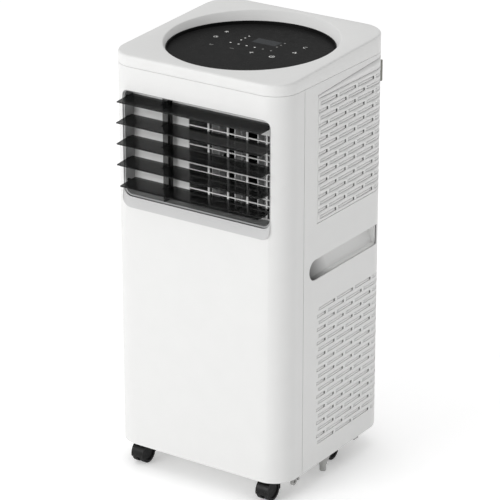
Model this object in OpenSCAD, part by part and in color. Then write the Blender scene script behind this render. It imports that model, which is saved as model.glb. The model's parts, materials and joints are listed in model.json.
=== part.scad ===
// Portable air conditioner: a rounded tower on four twin-wheel casters.
// The front with its louvers faces -Y, +X is on the right when looking at that front, and +Z is up.
// The origin is on the floor under the middle of the unit. Millimetres.

/* [Casing] */
// Width of the casing
body_w = 300; // [296:1:304]
// Depth of the casing
body_d = 286; // [284:1:292]
// Gap between the floor and the casing's lower edge
ground_gap = 36; // [36:0.5:38]
// Height of the seam between the casing and the top cap
seam_z = 628; // [626:1:632]
// Height of the top cap above the seam at the front
cap_front_h = 17; // [16:0.5:19]
// How much higher the cap stands at the back than at the front
cap_rise = 12; // [10:0.5:13]
// Radius of the two front corners in plan
front_r = 38; // [36:1:40]
// Radius of the two rear corners in plan
rear_r = 44; // [42:1:45]
// Thickness of the moulded casing
wall = 3; // [2.5:0.1:3.2]

/* [Air outlet] */
// Width of the outlet opening
outlet_w = 254; // [250:1:255]
// Height of the outlet opening
outlet_h = 162; // [160:1:163]
// Distance from the seam down to the opening
outlet_drop = 35; // [34:1:37]
// Distance from a blade's pivot to its front edge
blade_reach = 27; // [25:0.5:28]
// Downward slope of the blades at rest
blade_tilt = 3; // [0:0.5:5]
// Distance from one vane to the next
vane_pitch = 39; // [37:0.5:40]

/* [Side grilles] */
// Distance from one row of slots to the next
slot_pitch = 10.65; // [10:0.05:11]
// Height of a slot
slot_h = 5; // [4:0.1:6]
// Distance from one slot to the next along a row
slot_period = 49; // [46:1:52]

/* [Controls] */
// Radius of the round control panel's well
dial_r = 123; // [118:1:123]

/* [Casters] */
// Radius of a caster wheel
wheel_r = 16; // [15:0.5:16]
// Distance from the swivel axis to the wheel's axle
caster_trail = 6; // [4:0.5:7]

/* [Hidden] */
$fn = 64;

// Colours
c_white = [0.92, 0.93, 0.92];
c_grey = [0.40, 0.40, 0.41];
c_smoke = [0.22, 0.23, 0.25];
c_black = [0.07, 0.07, 0.08];
c_metal = [0.68, 0.70, 0.72];
c_copper = [0.72, 0.43, 0.28];
c_board = [0.10, 0.32, 0.18];

// Small distances used in many places
eps = 0.1;          // overshoot of a cut
gap = 0.3;          // gap between parts that move past each other
pin_play = 0.05;    // radial play of a pin in its bore

// Casing levels
front_y = -body_d / 2;
rear_y = body_d / 2;
side_x = body_w / 2;
split_y = front_y + 54;                 // seam between front panel and rear housing
cap_slope = cap_rise / body_d;
cap_front_z = seam_z + cap_front_h;
corner_y = rear_y - rear_r;             // where the rear corners begin
pan_z = ground_gap - 2;                 // underside of the base pan
pan_floor = 3;
floor_z = pan_z + pan_floor;            // where the inner parts stand
tray_z = 413;                           // underside of the tray between the two chambers
tray_top = tray_z + 3;

// Outlet
outlet_top = seam_z - outlet_drop;
outlet_bottom = outlet_top - outlet_h;
outlet_mid = (outlet_top + outlet_bottom) / 2;
outlet_r_low = 14;
outlet_r_high = 10;
lip = 2;                                // collar behind the opening
frame_wall = 2.5;
frame_front = front_y + 5;
frame_rear = front_y + 29;
frame_half = outlet_w / 2 - gap - frame_wall;    // half the clear width inside the frame
sill_h = 16;                            // height of the bevel under the opening

// Blades and their link
blade_count = 5;
blade_pivot_y = front_y + 10;
blade_margin_top = 13;
blade_margin_low = 22;
blade_pitch = (outlet_h - blade_margin_top - blade_margin_low) / (blade_count - 1);
blade_tail = 11;                        // from the pivot to the rear edge
blade_pin_r = 2;
blade_half = frame_half - 0.4;
rib_x = -57;
rib_t = 2;
link_x = -53.5;
link_w = 4;
link_arm = 7;                           // from a blade's pivot to its link pin
link_pin_r = 1.5;

// Guard and duct
guard_t = 2;
window_x0 = -28;
window_x1 = 118;
window_z0 = outlet_bottom + 5;
window_z1 = outlet_top - 33;
window_rows = 12;
upright_count = 4;
upright_pitch = 33;
upright_x0 = 5.5;
duct_wall = 2;
duct_rear = -46;

// Vanes and their link
vane_count = 3;
vane_y = frame_rear + 21;
vane_half = 16.5;
vane_x0 = 7.5;
vane_arm = 10;
vane_z = (window_z0 + window_z1) / 2;

// Blower in the upper chamber
blower_y = 18;
blower_z = vane_z;
blower_r = (window_z1 - window_z0) / 2 + duct_wall + 2;
wheel_half = 57;
blower_x = (window_x0 + window_x1) / 2;

// Lower chamber
fan_x = 60;
fan_z = 190;
fan_r = 54;
snail_r = 72;
snail_y0 = 20;
snail_y1 = 80;
plenum_z0 = 292;
plenum_z1 = tray_z - 1;
collar_z = 352;
collar_r = 55;
collar_wall = 2.5;
comp_x = -72;
comp_y = -40;
comp_r = 52;
comp_top = 240;

// Grilles
grille_y0 = front_y + 88;
upper_z0 = 419;
upper_z1 = 610;
cover_slope = 0.067;
upper_rows = 17;
lower_z0 = 64;
lower_rows = 21;
lower_z1 = lower_z0 + lower_rows * slot_pitch + 4;
slot_gap = 5;
first_gap = -26;

// Screws and drain at the back
screw_hole_r = 1.7;
drain_x = 85;
drain_z = 52;

// Handle pockets
pocket_z0 = 333;
pocket_z1 = 364.5;
pocket_y0 = front_y + 69;
pocket_y1 = rear_y - 31;
pocket_r = (pocket_z1 - pocket_z0) / 2;

// Control panel: a well with a level rim, and a dish that climbs from it to the cap's slope
dial_y = 0;
rim_z = cap_front_z - 4;
well_depth = 5;
disc_top = rim_z - well_depth;
disc_t = 3;
dish_w = 7;
dish_h = 16;

// Casters
stem_r = 4.5;
stem_x = 112;
front_stem_y = -116;
rear_stem_y = 46;
boss_h = 24;

function blade_z(i) = outlet_top - blade_margin_top - i * blade_pitch;
function vane_x(i) = vane_x0 + i * vane_pitch;

// ---------------------------------------------------------------- helpers

// Rectangle with one corner radius at its low edge and another at its high edge
module round_rect(w, h, r_low, r_high) {
    translate([-w / 2, -h / 2 + r_low])
        square([w, h - r_low - r_high]);
    translate([-w / 2 + r_low, -h / 2])
        square([w - 2 * r_low, h / 2]);
    translate([-w / 2 + r_high, 0])
        square([w - 2 * r_high, h / 2]);
    for (side = [-1, 1]) {
        translate([side * (w / 2 - r_low), -h / 2 + r_low])
            circle(r = r_low);
        translate([side * (w / 2 - r_high), h / 2 - r_high])
            circle(r = r_high);
    }
}

// Plan of the casing, drawn in by inset
module plan(inset) {
    round_rect(body_w - 2 * inset, body_d - 2 * inset, front_r - inset, rear_r - inset);
}

// Casing wall between two heights
module casing_wall(z0, z1) {
    translate([0, 0, z0])
        linear_extrude(z1 - z0)
            difference() {
                plan(0);
                plan(wall);
            }
}

// Everything below a plane that climbs towards the back, through height z at y
module below_slope(y, z, slope = cap_slope) {
    translate([0, y, z])
        rotate([atan(slope), 0, 0])
            translate([-body_w, -2 * body_d, -2 * seam_z])
                cube([2 * body_w, 4 * body_d, 2 * seam_z]);
}

// Box given by its two corners
module block(low, high) {
    translate(low)
        cube(high - low);
}

// Cylinder along X from x0 to x1
module bar_x(r, x0, x1) {
    translate([x0, 0, 0])
        rotate([0, 90, 0])
            cylinder(r = r, h = x1 - x0);
}

// Cylinder along Y from y0 to y1
module bar_y(r, y0, y1) {
    translate([0, y1, 0])
        rotate([90, 0, 0])
            cylinder(r = r, h = y1 - y0);
}

// Outlet opening, grown by grow, as a solid from y0 to y1
module outlet_plug(grow, y0, y1) {
    translate([0, y1, outlet_mid])
        rotate([90, 0, 0])
            linear_extrude(y1 - y0)
                round_rect(outlet_w + 2 * grow, outlet_h + 2 * grow,
                    outlet_r_low + grow, outlet_r_high + grow);
}

// Pipe of radius r through a list of points, with a ball at each bend
module pipe(points, r) {
    for (i = [0 : len(points) - 2]) {
        step = points[i + 1] - points[i];
        length = norm(step);
        translate(points[i])
            rotate([0, acos(step[2] / length), atan2(step[1], step[0])])
                cylinder(r = r, h = length);
    }
    for (i = [1 : len(points) - 2])
        translate(points[i])
            sphere(r = r + 0.4);
}

// ---------------------------------------------------------------- casing

module base_pan() {
    color(c_black) difference() {
        union() {
            translate([0, 0, pan_z])
                linear_extrude(pan_floor)
                    plan(wall + gap);
            translate([0, 0, floor_z - eps])
                linear_extrude(18)
                    difference() {
                        plan(wall + gap);
                        plan(wall + gap + 2.5);
                    }
            for (x = [-stem_x, stem_x], y = [front_stem_y, rear_stem_y])
                translate([x, y, floor_z - eps])
                    cylinder(r = 9, h = boss_h);
            // eyelet, latch tab and foot under the right-hand side
            translate([side_x - 7, front_y + 42, pan_z - 6])
                bar_x(6, -2, 2);
            block([side_x - 9, split_y - 3, pan_z - 8], [side_x - 5, split_y + 1, pan_z + eps]);
            block([side_x - 13, 66, pan_z - 7], [side_x - 7, 78, pan_z + eps]);
        }
        for (x = [-stem_x, stem_x], y = [front_stem_y, rear_stem_y])
            translate([x, y, pan_z - eps])
                cylinder(r = stem_r + pin_play, h = 23);
        translate([side_x - 7, front_y + 42, pan_z - 6])
            bar_x(2.5, -3, 3);
        // clearance for the lowest screws and for the drain plug
        for (p = screw_places())
            translate([p[0], 0, p[1]])
                bar_y(screw_hole_r, corner_y, rear_y + 1);
        translate([drain_x, 0, drain_z])
            bar_y(7, corner_y, rear_y + 1);
    }
}

module front_panel() {
    color(c_white) difference() {
        union() {
            intersection() {
                casing_wall(ground_gap, seam_z);
                block([-side_x - 1, front_y - 1, 0], [side_x + 1, split_y, seam_z + 1]);
            }
            difference() {
                outlet_plug(lip, front_y + 4, front_y + 14);
                outlet_plug(gap, front_y, front_y + 15);
            }
        }
        outlet_plug(0, front_y - 1, front_y + 15);
        // bevel that leads into the opening from below
        translate([0, front_y, outlet_bottom - sill_h])
            rotate([-6, 0, 0])
                translate([-outlet_w / 2, -5, 0])
                    cube([outlet_w, 5, sill_h + 4]);
    }
}

// Shell behind the seam, with room for the filter cover, the lower grilles and the handle pockets
module rear_shell() {
    difference() {
        intersection() {
            casing_wall(ground_gap, seam_z);
            block([-side_x - 1, split_y, 0], [side_x + 1, rear_y + 1, seam_z + 1]);
        }
        intersection() {
            block([-side_x - 1, grille_y0 - gap, upper_z0 - gap], [side_x + 1, rear_y + 1, seam_z]);
            below_slope(grille_y0, upper_z1 + gap, cover_slope);
        }
        block([-side_x - 1, grille_y0, lower_z0], [side_x + 1, corner_y, lower_z1]);
        block([-side_x - 1, pocket_y0 + pocket_r, pocket_z0], [side_x + 1, pocket_y1, pocket_z1]);
        translate([0, pocket_y0 + pocket_r, (pocket_z0 + pocket_z1) / 2])
            bar_x(pocket_r, -side_x - 1, side_x + 1);
    }
}

module side_wall_right() {
    color(c_white) intersection() {
        rear_shell();
        block([side_x - wall, split_y, 0], [side_x + 1, corner_y, seam_z + 1]);
    }
}

module side_wall_left() {
    mirror([1, 0, 0]) side_wall_right();
}

// Back wall with both rear corners
module rear_housing() {
    color(c_white) difference() {
        intersection() {
            rear_shell();
            block([-side_x - 1, corner_y, 0], [side_x + 1, rear_y + 1, seam_z + 1]);
        }
        // exhaust, drain, mains inlet and screw holes
        translate([0, 0, collar_z])
            bar_y(collar_r + collar_wall + pin_play, corner_y, rear_y + 1);
        translate([drain_x, 0, drain_z])
            bar_y(7, corner_y, rear_y + 1);
        translate([-92, 0, 330])
            bar_y(7, corner_y, rear_y + 1);
        for (p = screw_places())
            translate([p[0], 0, p[1]])
                bar_y(screw_hole_r, corner_y, rear_y + 1);
        // air slots in the lower back
        for (row = [0 : 14])
            for (x = [-81 + (row % 2) * 24.5 : slot_period : 81 - 24])
                block([x, corner_y, 80 + row * 13], [x + slot_period - 5, rear_y + 1, 86 + row * 13]);
    }
}

function screw_places() = [for (x = [-100, 100], z = [46, 300, 400]) [x, z]];

module case_screws() {
    color(c_metal)
        for (p = screw_places())
            translate([p[0], 0, p[1]]) {
                bar_y(1.6, rear_y - 14, rear_y + 0.5);
                difference() {
                    bar_y(4, rear_y, rear_y + 2);
                    block([-3, rear_y + 1.2, -0.5], [3, rear_y + 3, 0.5]);
                    block([-0.5, rear_y + 1.2, -3], [0.5, rear_y + 3, 3]);
                }
            }
}

module top_cap() {
    color(c_white) difference() {
        union() {
            difference() {
                intersection() {
                    translate([0, 0, seam_z])
                        linear_extrude(cap_front_h + cap_rise + 1)
                            plan(0);
                    below_slope(front_y, cap_front_z);
                }
                intersection() {
                    translate([0, 0, seam_z - 1])
                        linear_extrude(cap_front_h + cap_rise + 1)
                            plan(wall);
                    below_slope(front_y, cap_front_z - wall);
                }
            }
            // collar that the dish is cut into
            intersection() {
                translate([0, dial_y, rim_z - wall])
                    cylinder(r = dial_r + dish_w + wall, h = dish_h + 2 * wall, $fn = 128);
                below_slope(front_y, cap_front_z);
            }
        }
        translate([0, dial_y, seam_z - 1])
            cylinder(r = dial_r, h = 60, $fn = 128);
        translate([0, dial_y, rim_z])
            cylinder(r1 = dial_r, r2 = dial_r + dish_w, h = dish_h, $fn = 128);
    }
}

// ---------------------------------------------------------------- controls

module control_bezel() {
    color(c_black)
        translate([0, dial_y, disc_top - disc_t - 2])
            difference() {
                cylinder(r = dial_r, h = well_depth + disc_t + 2, $fn = 128);
                translate([0, 0, 2])
                    cylinder(r = dial_r - 1.5, h = 40, $fn = 128);
                translate([0, 0, -1])
                    cylinder(r = dial_r - 10, h = 40, $fn = 128);
            }
}

module window_block() {
    block([-20, dial_y + 31, disc_top - 1.5], [20, dial_y + 51, disc_top]);
}

module control_disc() {
    color(c_black) difference() {
        translate([0, dial_y, disc_top - disc_t])
            cylinder(r = dial_r - 1.5 - pin_play, h = disc_t, $fn = 128);
        window_block();
    }
}

module display_window() {
    color(c_smoke) window_block();
}

module control_board() {
    board_z = disc_top - 14;
    color(c_board) {
        block([-80, dial_y - 45, board_z], [80, dial_y + 50, board_z + 1.6]);
        for (x = [-74, 74], y = [-40, 45])
            translate([x, dial_y + y, board_z + 1.5])
                cylinder(r = 3, h = 14 - disc_t - 1.5);
        block([-20, dial_y - 35, board_z + 1.5], [4, dial_y - 18, board_z + 5]);
        block([30, dial_y - 35, board_z + 1.5], [46, dial_y - 22, board_z + 6]);
    }
}

// ---------------------------------------------------------------- outlet

module louver_frame() {
    color(c_grey) difference() {
        union() {
            outlet_plug(-gap, frame_front, frame_rear);
            outlet_plug(6, front_y + 14, front_y + 16);
        }
        outlet_plug(-gap - frame_wall, frame_front - 1, frame_rear + 1);
        for (i = [0 : blade_count - 1])
            translate([0, blade_pivot_y, blade_z(i)])
                bar_x(blade_pin_r + pin_play, -outlet_w, outlet_w);
    }
}

module louver_rib() {
    color(c_smoke) difference() {
        block([rib_x - rib_t / 2, frame_front, outlet_bottom + gap + frame_wall],
            [rib_x + rib_t / 2, frame_rear - guard_t, outlet_top - gap - frame_wall]);
        for (i = [0 : blade_count - 1])
            translate([0, blade_pivot_y, blade_z(i)])
                bar_x(blade_pin_r + pin_play, rib_x - 3, rib_x + 3);
    }
}

// The lowest blade stops short of the rounded lower corners
module blade(i) {
    // the top and bottom blades stop short of the frame's rounded corners
    half = blade_half - (i == 0 ? 1.5 : i == blade_count - 1 ? 5 : 0);
    color(c_smoke)
        translate([0, blade_pivot_y, blade_z(i)])
            rotate([blade_tilt, 0, 0]) {
                difference() {
                    translate([-half, 0, 0])
                        rotate([90, 0, 90])
                            linear_extrude(2 * half)
                                polygon([
                                    [-blade_reach, -0.7], [-blade_reach + 1, -1],
                                    [-4, -1.5], [4, -1.5], [blade_tail, -0.8],
                                    [blade_tail, 0.8], [4, 1.5], [-4, 1.5],
                                    [-blade_reach + 1, 1], [-blade_reach, 0.7]
                                ]);
                    // room for the rib and for the link
                    block([rib_x - 2.2, -8.6, -4], [rib_x + 2.2, 20, 4]);
                    block([link_x - 3, 1.2, -4], [link_x + 3, 20, 4]);
                }
                bar_x(blade_pin_r, -blade_half - 2.4, -half + 4);
                bar_x(blade_pin_r, half - 4, blade_half + 2.4);
                // short pin through the rib, and a stub that the link hangs on
                bar_x(blade_pin_r, rib_x - 4, rib_x + 3.2);
                translate([0, link_arm, 0])
                    bar_x(link_pin_r, link_x - 2, link_x + 4.5);
            }
}

module blade_link() {
    pin_y = blade_pivot_y + link_arm * cos(blade_tilt);
    pin_z = link_arm * sin(blade_tilt);
    last = blade_count - 1;
    color(c_black) difference() {
        block([link_x - link_w / 2, pin_y - 2.8, blade_z(last) + pin_z - 6],
            [link_x + link_w / 2, pin_y + 2.8, blade_z(0) + pin_z + 4.5]);
        for (i = [0 : last])
            translate([0, pin_y, blade_z(i) + pin_z])
                bar_x(link_pin_r + pin_play, link_x - 5, link_x + 5);
    }
}

module guard_grille() {
    clear_w = window_x1 - window_x0;
    clear_h = window_z1 - window_z0;
    row_pitch = clear_h / (window_rows + 1);
    color(c_white) {
        difference() {
            outlet_plug(-gap - frame_wall - eps, frame_rear - guard_t, frame_rear);
            block([window_x0, frame_rear - 10, window_z0], [window_x1, frame_rear + 10, window_z1]);
        }
        for (row = [1 : window_rows])
            translate([window_x0 - eps, frame_rear - guard_t, window_z0 + row * row_pitch - 0.8])
                cube([clear_w + 2 * eps, guard_t, 1.6]);
        for (i = [0 : upright_count - 1])
            translate([upright_x0 + i * upright_pitch - 1.5, frame_rear - guard_t, window_z0 - eps])
                cube([3, guard_t, clear_h + 2 * eps]);
    }
}

module air_duct() {
    color(c_grey) difference() {
        block([window_x0 - duct_wall, frame_rear, window_z0 - duct_wall],
            [window_x1 + duct_wall, duct_rear, window_z1 + duct_wall]);
        block([window_x0, frame_rear - 1, window_z0], [window_x1, duct_rear + 1, window_z1]);
        for (i = [0 : vane_count - 1])
            translate([vane_x(i), vane_y, window_z0 - 10])
                cylinder(r = blade_pin_r + pin_play, h = window_z1 - window_z0 + 20);
    }
}

module vane(i) {
    z0 = window_z0 + 0.5;
    z1 = window_z1 - 0.5;
    color(c_grey)
        translate([vane_x(i), vane_y, 0]) {
            difference() {
                block([-0.8, -vane_half, z0], [0.8, vane_half, z1]);
                block([-3, vane_arm - 5, vane_z - 5], [3, vane_half + 1, vane_z + 5]);
            }
            translate([0, 0, z0 - 2.3])
                cylinder(r = blade_pin_r, h = z1 - z0 + 4.6);
            translate([0, vane_arm, vane_z - 6])
                cylinder(r = link_pin_r, h = 12);
        }
}

module vane_link() {
    color(c_black) difference() {
        block([vane_x(0) - 4, vane_y + vane_arm - 3, vane_z - 2.5],
            [vane_x(vane_count - 1) + 4, vane_y + vane_arm + 3, vane_z + 2.5]);
        for (i = [0 : vane_count - 1])
            translate([vane_x(i), vane_y + vane_arm, vane_z - 5])
                cylinder(r = link_pin_r + pin_play, h = 10);
    }
}

// ---------------------------------------------------------------- upper chamber

module partition_tray() {
    color(c_grey) difference() {
        union() {
            translate([0, 0, tray_z])
                linear_extrude(tray_top - tray_z)
                    plan(wall + gap);
            block([-125, 82, tray_top - eps], [125, 84, tray_top + 8]);
            block([-125, 126, tray_top - eps], [125, 128, tray_top + 8]);
            for (x = [-125, 123])
                block([x, 82, tray_top - eps], [x + 2, 128, tray_top + 8]);
        }
        translate([-100, 60, tray_z - 1])
            cylinder(r = 6, h = 10);
    }
}

module blower_scroll() {
    x0 = window_x0 - duct_wall;
    x1 = window_x1 + duct_wall;
    color(c_metal) difference() {
        union() {
            translate([0, blower_y, blower_z])
                bar_x(blower_r, x0, x1);
            block([x0, duct_rear, window_z0 - duct_wall], [x1, blower_y, window_z1 + duct_wall]);
            for (x = [x0, x1 - 12])
                block([x, blower_y - 20, tray_top], [x + 12, blower_y + 20, blower_z - 40]);
        }
        translate([0, blower_y, blower_z])
            bar_x(blower_r - duct_wall, x0 + duct_wall, x1 - duct_wall);
        block([x0 + duct_wall, duct_rear - 1, window_z0], [x1 - duct_wall, blower_y, window_z1]);
        translate([0, blower_y, blower_z])
            bar_x(44, x0 - 1, x1 + 1);
        // flat face that meets the duct
        block([x0 - 1, duct_rear - 20, tray_top], [x1 + 1, duct_rear, blower_z + blower_r]);
    }
}

module blower_wheel() {
    blades = 30;
    r = 52;
    color(c_black)
        translate([blower_x, blower_y, blower_z]) {
            for (x = [-wheel_half, wheel_half - 3])
                difference() {
                    bar_x(r, x, x + 3);
                    bar_x(r - 10, x - 1, x + 4);
                }
            bar_x(r, -1.5, 1.5);
            for (i = [0 : blades - 1])
                rotate([i * 360 / blades, 0, 0])
                    translate([-wheel_half + 1, -0.6, r - 9])
                        rotate([20, 0, 0])
                            cube([2 * wheel_half - 2, 1.2, 8]);
            bar_x(9, -18, 18);
            bar_x(4, -blower_x - 54, -17);
        }
}

module blower_motor() {
    color(c_metal)
        translate([0, blower_y, blower_z]) {
            difference() {
                union() {
                    bar_x(32, -92, -58);
                    bar_x(12, -58.5, -52);
                }
                bar_x(4 + pin_play, -70, -50);
            }
            // stand that carries the motor on the tray
            difference() {
                block([-88, -24, tray_top - blower_z], [-62, 24, -16]);
                bar_x(31.5, -95, -50);
            }
        }
}

// Finned coil: a block of fins between two end plates, with tube ends outside the plates
module coil(x_half, y0, y1, foot, z0, z1) {
    mid_y = (y0 + y1) / 2;
    block([-x_half + 3, y0, z0], [x_half - 3, y1, z1]);
    for (x = [-x_half, x_half - 2])
        block([x, y0 - 2, foot], [x + 2, y1 + 2, z1 + 3]);
    for (z = [z0 + 12 : 24 : z1 - 12])
        translate([0, mid_y, z])
            for (side = [-1, 1])
                bar_x(4, side > 0 ? x_half - 4 : -x_half - 7, side > 0 ? x_half + 7 : -x_half + 4);
}

module evaporator() {
    color(c_metal) coil(112, 92, 120, tray_top, 432, 600);
}

module electrics_box() {
    color(c_metal) {
        block([-118, -106, tray_top], [-44, -46, 560]);
        translate([-80, -76, 559])
            cylinder(r = 18, h = 30);
    }
}

// ---------------------------------------------------------------- lower chamber

module condenser() {
    color(c_metal) coil(112, 90, 118, floor_z, 56, 276);
}

module condenser_scroll() {
    color(c_metal) difference() {
        union() {
            translate([fan_x, 0, fan_z])
                bar_y(snail_r, snail_y0, snail_y1);
            block([fan_x - snail_r, snail_y0, fan_z], [fan_x - 10, snail_y1, plenum_z0 + 1]);
            block([-66, snail_y0, plenum_z0], [66, 120, plenum_z1]);
            block([fan_x - 30, snail_y0, floor_z], [fan_x + 30, snail_y0 + 4, fan_z - 40]);
            block([fan_x - 30, snail_y1 - 4, floor_z], [fan_x + 30, snail_y1, fan_z - 40]);
        }
        translate([fan_x, 0, fan_z])
            bar_y(snail_r - 2, snail_y0 + 2, snail_y1 - 2);
        block([fan_x - snail_r + 2, snail_y0 + 2, fan_z], [fan_x - 12, snail_y1 - 2, plenum_z0 + 5]);
        block([-64, snail_y0 + 2, plenum_z0 + 2], [64, 118, plenum_z1 - 2]);
        translate([fan_x, 0, fan_z]) {
            bar_y(46, snail_y1 - 10, snail_y1 + 1);
            bar_y(12, snail_y0 - 1, snail_y0 + 5);
        }
        translate([0, 0, collar_z])
            bar_y(collar_r, 110, 125);
    }
}

module condenser_fan() {
    blades = 24;
    color(c_black)
        translate([fan_x, 0, fan_z]) {
            bar_y(fan_r, 28, 31);
            difference() {
                bar_y(fan_r, 68, 71);
                bar_y(fan_r - 10, 60, 75);
            }
            for (i = [0 : blades - 1])
                rotate([0, i * 360 / blades, 0])
                    translate([-0.6, 30, fan_r - 9])
                        rotate([0, 20, 0])
                            cube([1.2, 39, 8]);
            bar_y(9, 30, 48);
            bar_y(4, -10, 29);
        }
}

module condenser_motor() {
    color(c_metal)
        translate([fan_x, 0, fan_z]) {
            difference() {
                bar_y(32, -34, 6);
                bar_y(4 + pin_play, -12, 8);
            }
            // three lugs that hold the motor to the scroll
            for (a = [90, 210, 330])
                rotate([0, a, 0])
                    block([-5, -6, 28], [5, snail_y0, 38]);
        }
}

module compressor() {
    dome = 14;
    color(c_black)
        translate([comp_x, comp_y, 0]) {
            rotate_extrude()
                polygon([
                    [0, 49], [comp_r - dome, 49], [comp_r, 49 + dome],
                    [comp_r, comp_top - dome], [comp_r - dome, comp_top], [0, comp_top]
                ]);
            difference() {
                translate([0, 0, 45])
                    cylinder(r = comp_r + 6, h = 4);
                for (a = [30, 150, 270])
                    rotate([0, 0, a])
                        translate([comp_r - 2, 0, 44])
                            cylinder(r = 5, h = 3);
            }
            translate([0, 18, comp_top - 1])
                cylinder(r = 16, h = 14);
        }
}

module compressor_feet() {
    color(c_black)
        translate([comp_x, comp_y, 0])
            for (a = [30, 150, 270])
                rotate([0, 0, a])
                    translate([comp_r - 2, 0, floor_z]) {
                        cylinder(r = 8, h = 45 - floor_z);
                        cylinder(r = 4.8, h = 46.9 - floor_z);
                    }
}

module accumulator() {
    color(c_black)
        translate([2, -80, 0]) {
            translate([0, 0, 70])
                cylinder(r = 23, h = 110);
            translate([0, 0, 179])
                cylinder(r1 = 23, r2 = 8, h = 14);
            translate([0, 0, 57])
                cylinder(r1 = 8, r2 = 23, h = 13.5);
            translate([0, 0, floor_z])
                cylinder(r = 6, h = 21);
        }
}

module copper_lines() {
    color(c_copper) {
        pipe([[comp_x, comp_y - 20, comp_top], [comp_x, comp_y - 20, 262],
            [comp_x - 20, comp_y - 20, 262], [comp_x - 20, 89.9, 262]], 4);
        pipe([[2, -80, 193], [2, -80, 280], [-100, -80, 280], [-100, 60, 280],
            [-100, 60, 445], [-100, 91.9, 445]], 5);
    }
}

// ---------------------------------------------------------------- connections at the back and below

module exhaust_collar() {
    color(c_grey)
        translate([0, 0, collar_z])
            difference() {
                union() {
                    bar_y(collar_r + collar_wall, 120, rear_y + 13);
                    bar_y(collar_r + 7, rear_y, rear_y + 3);
                }
                bar_y(collar_r, 119, rear_y + 14);
            }
}

module drain_spout() {
    color(c_grey)
        translate([side_x - 13, -12, 0])
            difference() {
                union() {
                    translate([0, 0, 16])
                        cylinder(r1 = 5, r2 = 11, h = pan_z - 16);
                    translate([0, 0, 8])
                        cylinder(r = 5, h = 8.5);
                }
                translate([0, 0, 7])
                    cylinder(r = 3, h = 24);
            }
}

module drain_plug() {
    color(c_black)
        translate([drain_x, 0, drain_z])
            difference() {
                union() {
                    bar_y(6.6, rear_y - 18, rear_y + 0.5);
                    bar_y(10, rear_y + gap, rear_y + 4);
                    bar_y(4, rear_y + 3, rear_y + 9);
                }
                bar_y(4.5, rear_y - 19, rear_y - 6);
            }
}

module cord_gland() {
    color(c_black)
        translate([-92, 0, 330])
            difference() {
                union() {
                    bar_y(7, rear_y - 8, rear_y + 1);
                    bar_y(11, rear_y, rear_y + 4);
                    bar_y(6, rear_y + 3, rear_y + 12);
                }
                bar_y(3.5, rear_y - 9, rear_y + 13);
            }
}

// ---------------------------------------------------------------- side grilles and pockets

// Rows of long slots cut through a side wall, every other row set back by half a slot
module side_slots(z0, rows) {
    for (row = [0 : rows - 1], k = [0 : 3]) {
        start = first_gap + (k - 1 + (row % 2 == 0 ? 0.5 : 0)) * slot_period + slot_gap / 2;
        y0 = max(start, grille_y0 + 2.5);
        y1 = min(start + slot_period - slot_gap, corner_y - 3);
        z = z0 + 4.5 + row * slot_pitch;
        if (y1 - y0 > 5)
            block([side_x - wall - 1, y0, z], [side_x + 1, y1, z + slot_h]);
    }
}

module upper_grille_right() {
    color(c_white) intersection() {
        difference() {
            block([side_x - wall, grille_y0, upper_z0], [side_x, corner_y, seam_z]);
            side_slots(upper_z0, upper_rows);
        }
        below_slope(grille_y0, upper_z1, cover_slope);
    }
}

module upper_grille_left() {
    mirror([1, 0, 0]) upper_grille_right();
}

module upper_grille_rear() {
    color(c_white) difference() {
        intersection() {
            casing_wall(upper_z0, seam_z);
            block([-side_x - 1, corner_y, 0], [side_x + 1, rear_y + 1, seam_z + 1]);
            below_slope(grille_y0, upper_z1, cover_slope);
        }
        for (row = [0 : 12])
            for (x = [-81 + (row % 2) * 24.5 : slot_period : 81 - 24])
                block([x, rear_y - wall - 1, 440 + row * 13],
                    [x + slot_period - 5, rear_y + 1, 446 + row * 13]);
    }
}

module air_filter() {
    y0 = 131;
    y1 = 136;
    color(c_grey) {
        difference() {
            block([-104, y0, 432], [104, y1, 604]);
            block([-98, y0 - 1, 438], [98, y1 + 1, 598]);
        }
        for (x = [-50, 0, 50])
            block([x - 1.5, y0, 437], [x + 1.5, y1, 599]);
        block([-99, y0, 516.5], [99, y1, 519.5]);
        block([-99, y0 + 2, 437], [99, y0 + 3, 599]);
        for (x = [-101, 101], z = [434, 602])
            translate([x, 0, z])
                bar_y(1.8, y1 - 1, rear_y - wall);
    }
}

// Two finger pulls at the rear corners of the filter cover
module cover_pulls() {
    color(c_grey)
        for (flip = [0, 1])
            mirror([flip, 0, 0]) {
                block([98, rear_y, 568], [104, rear_y + 17, 600]);
                block([98, rear_y + 13, 568], [124, rear_y + 17, 600]);
            }
}

module lower_grille_right() {
    color(c_white) difference() {
        block([side_x - wall, grille_y0, lower_z0], [side_x, corner_y, lower_z1]);
        side_slots(lower_z0, lower_rows);
    }
}

module lower_grille_left() {
    mirror([1, 0, 0]) lower_grille_right();
}

// Wedge-shaped cup behind a handle pocket: shallow at its shelf, deep behind the upper lip
module handle_cup_right() {
    inner = side_x - wall;
    color(c_grey) intersection() {
        difference() {
            translate([0, pocket_y1 + 2, 0])
                rotate([90, 0, 0])
                    linear_extrude(pocket_y1 - pocket_y0 + 4)
                        polygon([
                            [inner, pocket_z0 - 2], [inner - 9, pocket_z0 - 2],
                            [inner - 29, pocket_z1 + 9.5], [inner, pocket_z1 + 9.5]
                        ]);
            translate([0, pocket_y1, 0])
                rotate([90, 0, 0])
                    linear_extrude(pocket_y1 - pocket_y0)
                        polygon([
                            [inner + 5, pocket_z0], [inner - 7.5, pocket_z0],
                            [inner - 26, pocket_z1 + 7], [inner - 3, pocket_z1 + 7],
                            [inner - 3, pocket_z1], [inner + 5, pocket_z1]
                        ]);
        }
        translate([0, 0, pocket_z0 - 10])
            linear_extrude(60)
                plan(wall);
    }
}

module handle_cup_left() {
    mirror([1, 0, 0]) handle_cup_right();
}

// ---------------------------------------------------------------- casters

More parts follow.
